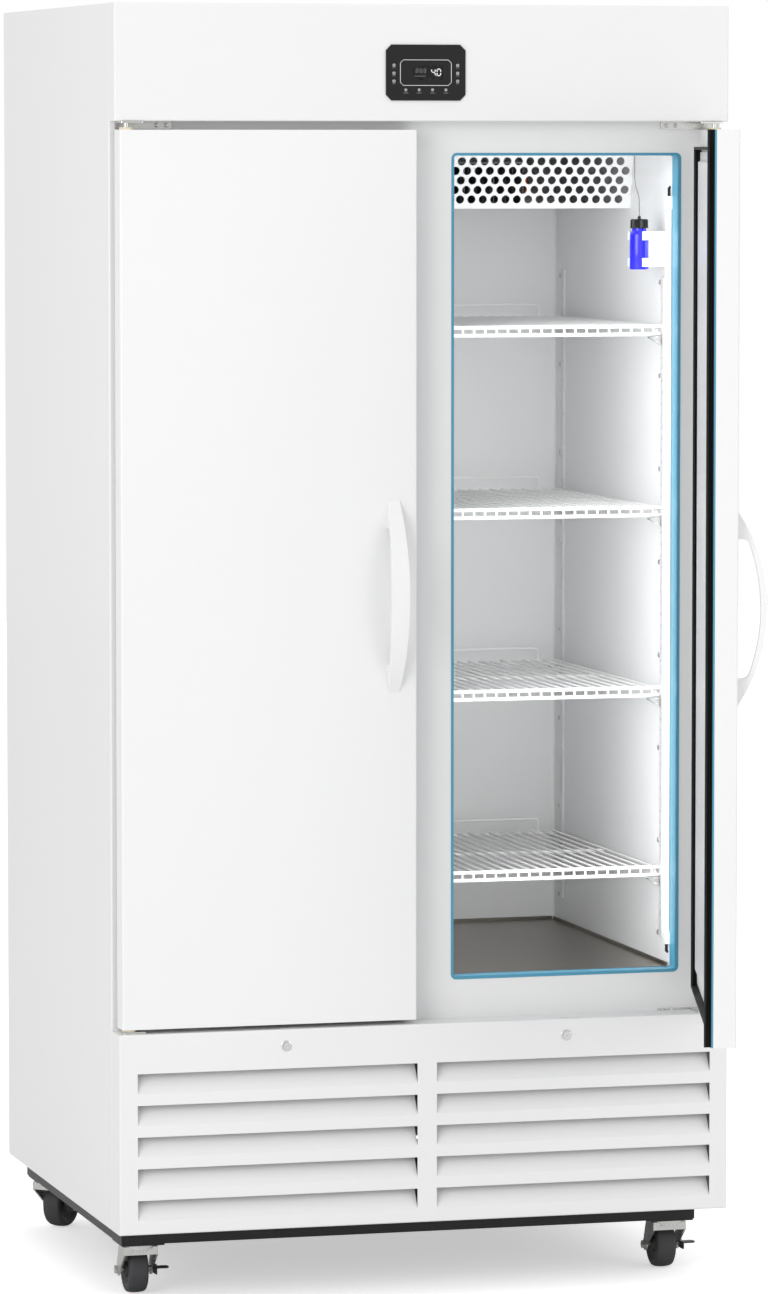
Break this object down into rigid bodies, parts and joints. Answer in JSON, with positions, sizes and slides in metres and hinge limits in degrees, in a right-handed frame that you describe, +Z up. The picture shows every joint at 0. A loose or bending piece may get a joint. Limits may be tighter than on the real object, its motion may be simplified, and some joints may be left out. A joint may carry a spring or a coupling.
{
  "type": "laboratory refrigerator",
  "caption": "Upright white refrigerator with solid swing doors over wire shelves, a louvred lower panel, a temperature controller, key locks and swivel casters.",
  "frame": {"origin": "centre of the bounding box's bottom, on the floor, with the left door closed and the right door open", "axes": "+Z up, +X to the right and -Y out of the front of the cabinet"},
  "size_m": [1.013, 1.3049, 2.07],
  "materials": {
    "white_enamel": "satin powder coat",
    "white_coated_wire": "satin plastic coat",
    "white_plastic": "satin",
    "foam": "foam",
    "galvanised_sheet": "dull zinc",
    "stainless": "brushed",
    "blue_breaker": "satin",
    "black_gasket": "matte",
    "black_enamel": "satin powder coat",
    "black_plastic": "satin",
    "display_glass": "clear",
    "coil_aluminium": "mill",
    "zinc_plate": "bright zinc",
    "chrome_lock": "polished",
    "bottle_liquid": "blue liquid in a clear bottle",
    "wire_jacket": "satin",
    "cream_bushing": "natural nylon",
    "caster_rubber": "matte"
  },
  "bodies": {
    "cabinet": {"left_side_panel": "white_enamel", "right_side_panel": "white_enamel", "top_panel": "white_enamel", "rear_panel": "galvanised_sheet", "insulation": "foam", "inner_liner": "white_enamel", "face_frame": "white_enamel", "breaker_strips": "blue_breaker", "floor_pan": "stainless", "header_panel": "white_enamel", "lower_panel": "white_enamel", "base_frame": "black_enamel", "controller_housing": "black_plastic", "controller_window": "display_glass", "light_strips": "white_plastic", "evaporator_cover": "white_enamel", "evaporator_coil": "coil_aluminium", "shelf_standards": "stainless", "shelf_clips": "stainless", "probe_bottle": "bottle_liquid", "probe_bottle_cap": "black_plastic", "bottle_bracket": "white_enamel", "probe_wire": "wire_jacket", "compressor": "black_enamel", "condenser_coil": "coil_aluminium", "hinge_brackets": "zinc_plate", "left_shelf_1": "white_coated_wire", "left_shelf_2": "white_coated_wire", "left_shelf_3": "white_coated_wire", "left_shelf_4": "white_coated_wire", "right_shelf_1": "white_coated_wire", "right_shelf_2": "white_coated_wire", "right_shelf_3": "white_coated_wire", "right_shelf_4": "white_coated_wire"},
    "left_door": {"left_door_skin": "white_enamel", "left_door_liner": "white_plastic", "left_door_gasket": "black_gasket", "left_door_handle": "white_enamel", "left_door_bushings": "cream_bushing"},
    "right_door": {"right_door_skin": "white_enamel", "right_door_liner": "white_plastic", "right_door_gasket": "black_gasket", "right_door_handle": "white_enamel", "right_door_bushings": "cream_bushing"},
    "left_lock": {"left_lock": "chrome_lock"},
    "right_lock": {"right_lock": "chrome_lock"},
    "evaporator_fan": {"evaporator_fan": "black_plastic"},
    "condenser_fan": {"condenser_fan": "black_plastic"},
    "caster_front_left": {"caster_front_left_yoke": "zinc_plate"},
    "wheel_front_left": {"caster_front_left_wheel": "caster_rubber"},
    "pedal_front_left": {"caster_front_left_pedal": "black_plastic"},
    "caster_front_right": {"caster_front_right_yoke": "zinc_plate"},
    "wheel_front_right": {"caster_front_right_wheel": "caster_rubber"},
    "pedal_front_right": {"caster_front_right_pedal": "black_plastic"},
    "caster_rear_left": {"caster_rear_left_yoke": "zinc_plate"},
    "wheel_rear_left": {"caster_rear_left_wheel": "caster_rubber"},
    "pedal_rear_left": {"caster_rear_left_pedal": "black_plastic"},
    "caster_rear_right": {"caster_rear_right_yoke": "zinc_plate"},
    "wheel_rear_right": {"caster_rear_right_wheel": "caster_rubber"},
    "pedal_rear_right": {"caster_rear_right_pedal": "black_plastic"}
  },
  "joints": [
    {"name": "left_door_hinge", "type": "hinge", "parent": "cabinet", "child": "left_door", "pos_m": [-0.4857, -0.19522, 0], "axis": [0, 0, -1], "range_deg": [0, 120]},
    {"name": "right_door_hinge", "type": "hinge", "parent": "cabinet", "child": "right_door", "pos_m": [0.4857, -0.19522, 0], "axis": [0, 0, 1], "range_deg": [-74.6, 45.4]},
    {"name": "left_lock_turn", "type": "hinge", "parent": "cabinet", "child": "left_lock", "pos_m": [-0.233, -0.21772, 0.415], "axis": [0, -1, 0], "range_deg": [0, 90]},
    {"name": "right_lock_turn", "type": "hinge", "parent": "cabinet", "child": "right_lock", "pos_m": [0.233, -0.21772, 0.415], "axis": [0, -1, 0], "range_deg": [0, 90]},
    {"name": "evaporator_fan_spin", "type": "hinge", "parent": "cabinet", "child": "evaporator_fan", "pos_m": [0, 0.12648, 1.7817], "axis": [0, 1, 0], "continuous": true},
    {"name": "condenser_fan_spin", "type": "hinge", "parent": "cabinet", "child": "condenser_fan", "pos_m": [-0.176, 0.01248, 0.2355], "axis": [0, 1, 0], "continuous": true},
    {"name": "front_left_caster_swivel", "type": "hinge", "parent": "cabinet", "child": "caster_front_left", "pos_m": [-0.446, -0.08522, 0.085], "axis": [0, 0, 1], "continuous": true},
    {"name": "front_left_wheel_roll", "type": "hinge", "parent": "caster_front_left", "child": "wheel_front_left", "pos_m": [-0.446, -0.05722, 0.038], "axis": [1, 0, 0], "continuous": true},
    {"name": "front_left_brake_pedal", "type": "hinge", "parent": "caster_front_left", "child": "pedal_front_left", "pos_m": [-0.446, -0.05722, 0.038], "axis": [1, 0, 0], "range_deg": [0, 20]},
    {"name": "front_right_caster_swivel", "type": "hinge", "parent": "cabinet", "child": "caster_front_right", "pos_m": [0.446, -0.08522, 0.085], "axis": [0, 0, 1], "continuous": true},
    {"name": "front_right_wheel_roll", "type": "hinge", "parent": "caster_front_right", "child": "wheel_front_right", "pos_m": [0.446, -0.05722, 0.038], "axis": [1, 0, 0], "continuous": true},
    {"name": "front_right_brake_pedal", "type": "hinge", "parent": "caster_front_right", "child": "pedal_front_right", "pos_m": [0.446, -0.05722, 0.038], "axis": [1, 0, 0], "range_deg": [0, 20]},
    {"name": "rear_left_caster_swivel", "type": "hinge", "parent": "cabinet", "child": "caster_rear_left", "pos_m": [-0.446, 0.56278, 0.085], "axis": [0, 0, 1], "continuous": true},
    {"name": "rear_left_wheel_roll", "type": "hinge", "parent": "caster_rear_left", "child": "wheel_rear_left", "pos_m": [-0.4269, 0.58326, 0.038], "axis": [0.7314, -0.682, 0], "continuous": true},
    {"name": "rear_left_brake_pedal", "type": "hinge", "parent": "caster_rear_left", "child": "pedal_rear_left", "pos_m": [-0.4269, 0.58326, 0.038], "axis": [0.7314, -0.682, 0], "range_deg": [0, 20]},
    {"name": "rear_right_caster_swivel", "type": "hinge", "parent": "cabinet", "child": "caster_rear_right", "pos_m": [0.446, 0.56278, 0.085], "axis": [0, 0, 1], "continuous": true},
    {"name": "rear_right_wheel_roll", "type": "hinge", "parent": "caster_rear_right", "child": "wheel_rear_right", "pos_m": [0.43642, 0.58909, 0.038], "axis": [0.9397, 0.342, 0], "continuous": true},
    {"name": "rear_right_brake_pedal", "type": "hinge", "parent": "caster_rear_right", "child": "pedal_rear_right", "pos_m": [0.43642, 0.58909, 0.038], "axis": [0.9397, 0.342, 0], "range_deg": [0, 20]}
  ]
}
